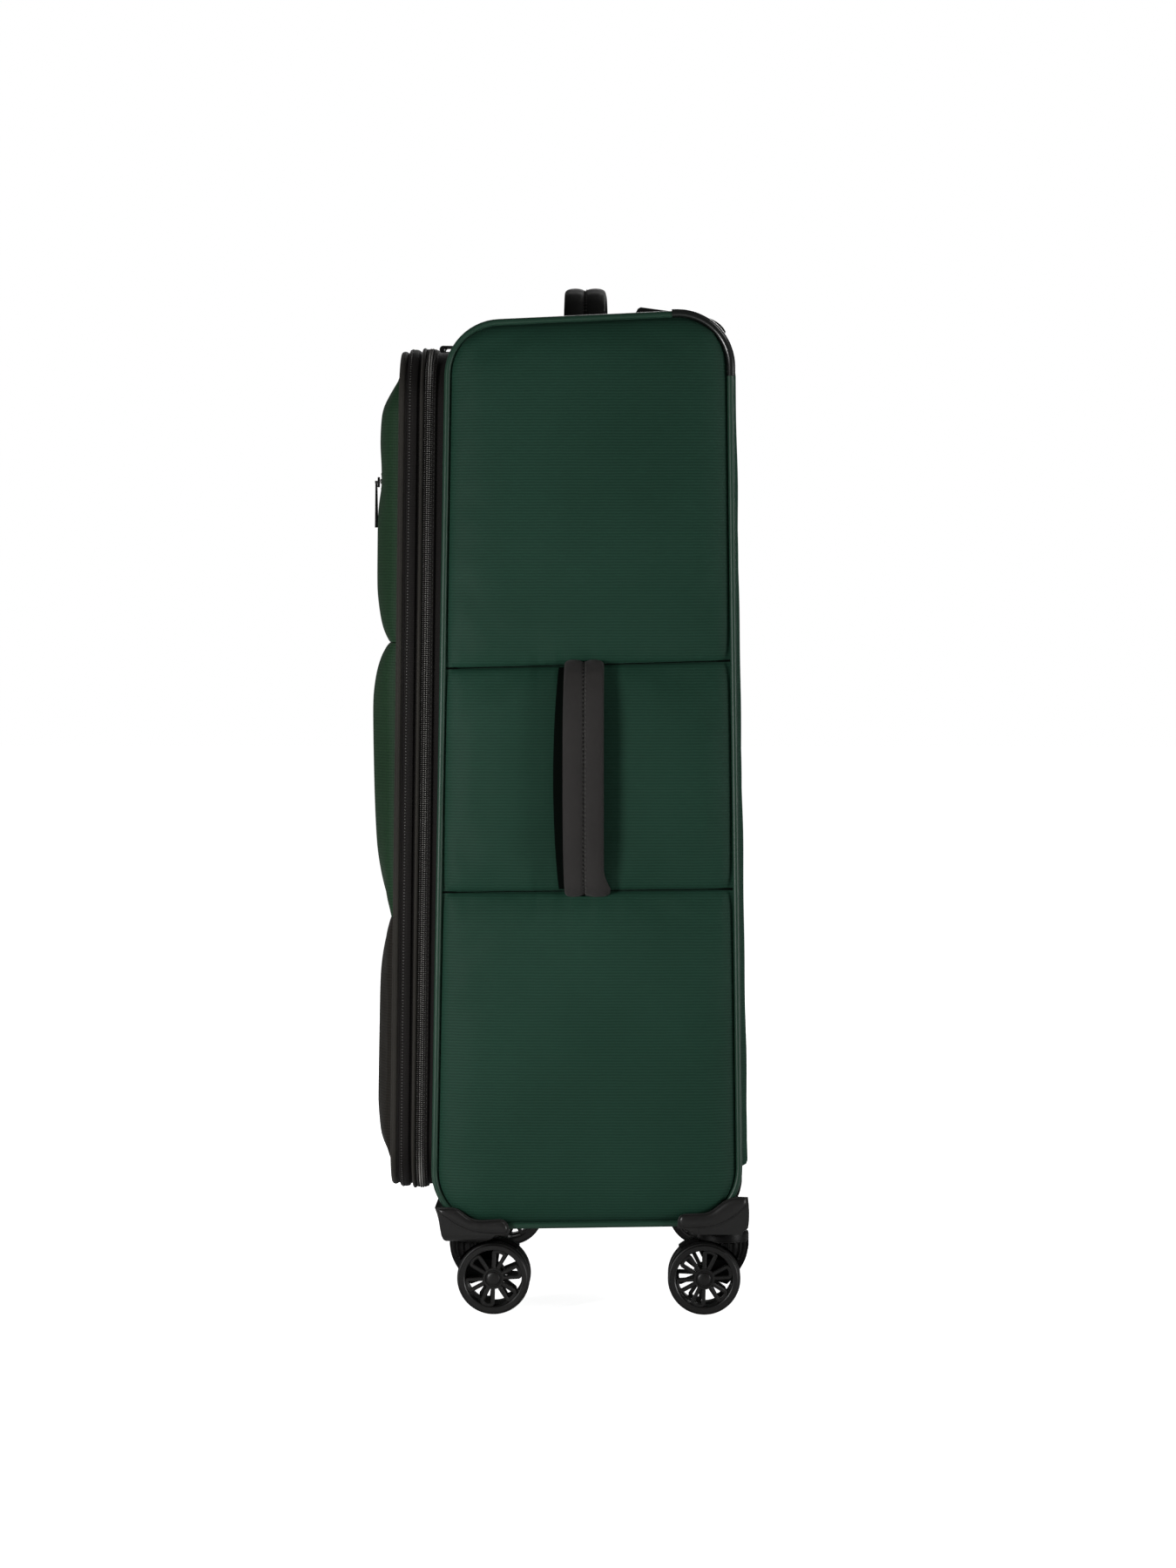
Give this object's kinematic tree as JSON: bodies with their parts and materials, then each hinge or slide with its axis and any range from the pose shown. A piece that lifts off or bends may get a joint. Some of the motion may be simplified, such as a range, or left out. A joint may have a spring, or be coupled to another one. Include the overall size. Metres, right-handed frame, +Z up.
{
  "type": "soft-sided spinner suitcase",
  "caption": "Upright soft-sided travel suitcase with a zipped lid, expander, pull handle, carry handles and swivelling twin-wheel casters.",
  "frame": {"origin": "middle of the footprint, on the floor under the wheels", "axes": "+Z up, -Y the front with the lid, +X the side with the carry handle"},
  "size_m": [0.4886, 0.2966, 0.8112],
  "materials": {
    "green_fabric": "fine ribbed polyester with a slight sheen",
    "green_piping": "woven piping with a soft sheen",
    "brown_black_fabric": "fine ribbed polyester",
    "black_webbing": "woven tape",
    "black_twill": "padded twill",
    "black_plastic": "satin moulded plastic",
    "gloss_plastic": "polished moulded plastic",
    "wheel_rubber": "satin polyurethane",
    "tube_aluminium": "satin anodised",
    "steel": "zinc plated",
    "lining_fabric": "thin plain-weave polyester lining",
    "mesh_fabric": "open mesh"
  },
  "bodies": {
    "root": {"side_panel_right": "green_fabric", "side_panel_left": "green_fabric", "piping": "green_piping", "top_panel": "green_fabric", "bottom_panel": "green_fabric", "back_panel": "green_fabric", "front_border": "green_fabric", "body_zip_half": "black_webbing", "hinge_gusset": "black_webbing", "lining": "lining_fabric", "tube_covers": "lining_fabric", "packing_straps": "black_webbing", "strap_buckle": "black_plastic", "top_handle": "black_twill", "side_handle": "black_twill", "corner_guards": "gloss_plastic", "trolley_housing": "black_plastic", "outer_tubes": "tube_aluminium", "bracket_front_right": "black_plastic", "bracket_front_left": "black_plastic", "bracket_rear_right": "black_plastic", "bracket_rear_left": "black_plastic", "bracket_screws": "steel"},
    "lid": {"lid_zip_half": "black_webbing", "lid_frame": "black_webbing"},
    "front_section": {"front_board": "black_webbing", "expander_sleeve": "black_webbing", "panel_upper": "green_fabric", "panel_middle": "green_fabric", "panel_lower": "brown_black_fabric", "lid_lining": "lining_fabric", "mesh_pocket": "mesh_fabric", "pocket_zip": "black_webbing"},
    "main_slider_right": {"main_slider_right": "black_plastic"},
    "main_slider_left": {"main_slider_left": "black_plastic"},
    "main_pull_right": {"main_pull_right": "black_plastic"},
    "main_pull_left": {"main_pull_left": "black_plastic"},
    "expander_slider": {"expander_slider": "black_plastic"},
    "pocket_slider": {"pocket_slider": "black_plastic"},
    "pocket_pull": {"pocket_pull": "black_plastic"},
    "handle_middle": {"middle_tubes": "tube_aluminium"},
    "handle_inner": {"inner_tubes": "tube_aluminium", "grip": "black_plastic"},
    "release_button": {"release_button": "gloss_plastic"},
    "caster_front_right": {"fork_front_right": "black_plastic", "axle_front_right": "steel"},
    "wheel_front_right_outer": {"wheel_front_right_outer": "wheel_rubber"},
    "wheel_front_right_inner": {"wheel_front_right_inner": "wheel_rubber"},
    "caster_front_left": {"fork_front_left": "black_plastic", "axle_front_left": "steel"},
    "wheel_front_left_outer": {"wheel_front_left_outer": "wheel_rubber"},
    "wheel_front_left_inner": {"wheel_front_left_inner": "wheel_rubber"},
    "caster_rear_right": {"fork_rear_right": "black_plastic", "axle_rear_right": "steel"},
    "wheel_rear_right_outer": {"wheel_rear_right_outer": "wheel_rubber"},
    "wheel_rear_right_inner": {"wheel_rear_right_inner": "wheel_rubber"},
    "caster_rear_left": {"fork_rear_left": "black_plastic", "axle_rear_left": "steel"},
    "wheel_rear_left_outer": {"wheel_rear_left_outer": "wheel_rubber"},
    "wheel_rear_left_inner": {"wheel_rear_left_inner": "wheel_rubber"}
  },
  "joints": [
    {"name": "lid_hinge", "type": "hinge", "parent": "root", "child": "lid", "pos_m": [-0.2417, -0.101, 0.42545], "axis": [0, -0.0131, -0.9999], "range_deg": [0, 180]},
    {"name": "expander_slide", "type": "slide", "parent": "lid", "child": "front_section", "axis": [0, -0.9999, 0.0131], "range_m": [0, 0.04]},
    {"name": "main_slider_right_run", "type": "slide", "parent": "root", "child": "main_slider_right", "axis": [1, 0, 0], "range_m": [0, 0.13]},
    {"name": "main_slider_left_run", "type": "slide", "parent": "root", "child": "main_slider_left", "axis": [-1, 0, 0], "range_m": [0, 0.13]},
    {"name": "main_pull_right_swing", "type": "hinge", "parent": "main_slider_right", "child": "main_pull_right", "pos_m": [0.0043, -0.10049, 0.76237], "axis": [1, 0, 0], "range_deg": [0, 180]},
    {"name": "main_pull_left_swing", "type": "hinge", "parent": "main_slider_left", "child": "main_pull_left", "pos_m": [-0.0237, -0.10049, 0.76237], "axis": [1, 0, 0], "range_deg": [0, 180]},
    {"name": "expander_slider_run", "type": "slide", "parent": "lid", "child": "expander_slider", "axis": [0, 0.0131, 0.9999], "range_m": [0, 0.44]},
    {"name": "pocket_slider_run", "type": "slide", "parent": "front_section", "child": "pocket_slider", "axis": [-1, 0, 0], "range_m": [0, 0.276]},
    {"name": "pocket_pull_swing", "type": "hinge", "parent": "pocket_slider", "child": "pocket_pull", "pos_m": [0.1283, -0.14724, 0.65207], "axis": [-1, 0, 0], "range_deg": [0, 150]},
    {"name": "handle_middle_slide", "type": "slide", "parent": "root", "child": "handle_middle", "axis": [0, 0, 1], "range_m": [0, 0.165]},
    {"name": "handle_inner_slide", "type": "slide", "parent": "handle_middle", "child": "handle_inner", "axis": [0, 0, 1], "range_m": [0, 0.165]},
    {"name": "release_button_press", "type": "slide", "parent": "handle_inner", "child": "release_button", "axis": [0, 0, -1], "range_m": [0, 0.003], "stiffness_N_per_m": 150, "springref_m": -0.002},
    {"name": "caster_front_right_swivel", "type": "hinge", "parent": "root", "child": "caster_front_right", "pos_m": [0.1883, -0.067, 0.06], "axis": [0, 0, 1], "continuous": true},
    {"name": "wheel_front_right_outer_spin", "type": "hinge", "parent": "caster_front_right", "child": "wheel_front_right_outer", "pos_m": [0.2023, -0.052, 0.0285], "axis": [1, 0, 0], "continuous": true},
    {"name": "wheel_front_right_inner_spin", "type": "hinge", "parent": "caster_front_right", "child": "wheel_front_right_inner", "pos_m": [0.1743, -0.052, 0.0285], "axis": [1, 0, 0], "continuous": true},
    {"name": "caster_front_left_swivel", "type": "hinge", "parent": "root", "child": "caster_front_left", "pos_m": [-0.2077, -0.067, 0.06], "axis": [0, 0, 1], "continuous": true},
    {"name": "wheel_front_left_outer_spin", "type": "hinge", "parent": "caster_front_left", "child": "wheel_front_left_outer", "pos_m": [-0.2217, -0.052, 0.0285], "axis": [1, 0, 0], "continuous": true},
    {"name": "wheel_front_left_inner_spin", "type": "hinge", "parent": "caster_front_left", "child": "wheel_front_left_inner", "pos_m": [-0.1937, -0.052, 0.0285], "axis": [1, 0, 0], "continuous": true},
    {"name": "caster_rear_right_swivel", "type": "hinge", "parent": "root", "child": "caster_rear_right", "pos_m": [0.1883, 0.128, 0.06], "axis": [0, 0, 1], "continuous": true},
    {"name": "wheel_rear_right_outer_spin", "type": "hinge", "parent": "caster_rear_right", "child": "wheel_rear_right_outer", "pos_m": [0.2023, 0.113, 0.0285], "axis": [1, 0, 0], "continuous": true},
    {"name": "wheel_rear_right_inner_spin", "type": "hinge", "parent": "caster_rear_right", "child": "wheel_rear_right_inner", "pos_m": [0.1743, 0.113, 0.0285], "axis": [1, 0, 0], "continuous": true},
    {"name": "caster_rear_left_swivel", "type": "hinge", "parent": "root", "child": "caster_rear_left", "pos_m": [-0.2077, 0.128, 0.06], "axis": [0, 0, 1], "continuous": true},
    {"name": "wheel_rear_left_outer_spin", "type": "hinge", "parent": "caster_rear_left", "child": "wheel_rear_left_outer", "pos_m": [-0.2217, 0.113, 0.0285], "axis": [1, 0, 0], "continuous": true},
    {"name": "wheel_rear_left_inner_spin", "type": "hinge", "parent": "caster_rear_left", "child": "wheel_rear_left_inner", "pos_m": [-0.1937, 0.113, 0.0285], "axis": [1, 0, 0], "continuous": true}
  ]
}
